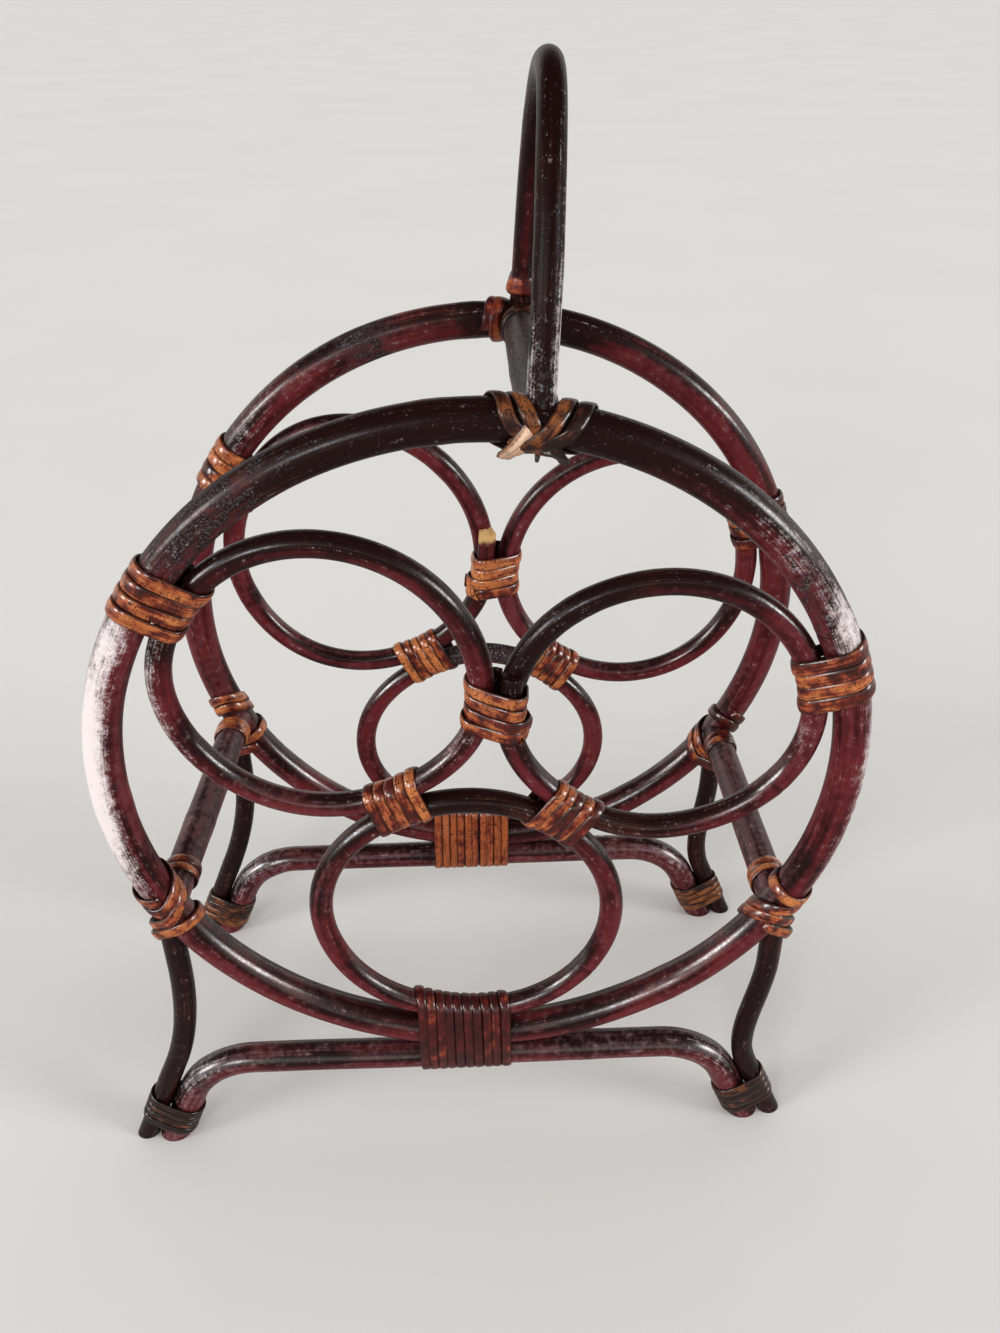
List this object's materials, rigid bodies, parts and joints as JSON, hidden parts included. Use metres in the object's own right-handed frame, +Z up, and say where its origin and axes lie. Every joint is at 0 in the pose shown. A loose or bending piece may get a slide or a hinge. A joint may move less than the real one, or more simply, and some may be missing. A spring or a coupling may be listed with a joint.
{
  "type": "rattan wine rack",
  "caption": "Countertop rattan rack with round bent-cane end frames, looped bottle rests and an arched carrying handle.",
  "frame": {"origin": "on the floor, at the middle of the rack's outline seen from above", "axes": "+Z up, +Y from the front frame to the rear frame, +X to the right seen from the front"},
  "size_m": [0.3266, 0.1594, 0.4574],
  "materials": {
    "frame_cane": "glossy dark cherry lacquer, worn",
    "foot_cane": "glossy dark lacquer",
    "rail_cane": "dusty dark lacquer",
    "bar_cane": "weathered grey lacquer",
    "peel": "stained rattan peel, satin",
    "peel_dark": "dark stained rattan peel",
    "peel_red": "red stained rattan peel, glossy",
    "nail_steel": "plain wire nail"
  },
  "bodies": {
    "root": {"front_foot_stretcher": "foot_cane", "front_left_loop": "frame_cane", "front_right_loop": "frame_cane", "front_lower_loop": "frame_cane", "front_left_leg_nail": "nail_steel", "front_left_leg": "foot_cane", "front_right_leg_nail": "nail_steel", "front_right_leg": "foot_cane", "rear_foot_stretcher": "foot_cane", "rear_left_loop": "frame_cane", "rear_right_loop": "frame_cane", "rear_lower_loop": "frame_cane", "rear_left_leg_nail": "nail_steel", "rear_left_leg": "foot_cane", "rear_right_leg_nail": "nail_steel", "rear_right_leg": "foot_cane", "front_left_rail_nail": "nail_steel", "rear_left_rail_nail": "nail_steel", "left_rail": "rail_cane", "front_right_rail_nail": "nail_steel", "rear_right_rail_nail": "nail_steel", "right_rail": "rail_cane", "front_handle_nail": "nail_steel", "rear_handle_nail": "nail_steel", "handle": "frame_cane", "front_top_bar_nail": "nail_steel", "rear_top_bar_nail": "nail_steel", "top_bar": "bar_cane", "front_hoop": "frame_cane", "front_left_hoop_wrap": "peel", "front_right_hoop_wrap": "peel", "front_centre_wrap": "peel", "front_inner_left_wrap": "peel", "front_inner_right_wrap": "peel", "front_bottom_wrap": "peel_red", "front_left_foot_wrap": "peel_dark", "front_right_foot_wrap": "peel_dark", "front_left_rail_lashing": "peel", "front_right_rail_lashing": "peel", "front_top_lashing": "peel_dark", "rear_hoop": "frame_cane", "rear_left_hoop_wrap": "peel", "rear_right_hoop_wrap": "peel", "rear_centre_wrap": "peel", "rear_inner_left_wrap": "peel", "rear_inner_right_wrap": "peel", "rear_bottom_wrap": "peel_red", "rear_left_foot_wrap": "peel_dark", "rear_right_foot_wrap": "peel_dark", "rear_left_rail_lashing": "peel", "rear_right_rail_lashing": "peel", "rear_top_lashing": "peel_dark", "front_left_rail_collar": "peel", "rear_left_rail_collar": "peel", "front_right_rail_collar": "peel", "rear_right_rail_collar": "peel", "handle_collar": "peel"}
  },
  "joints": []
}
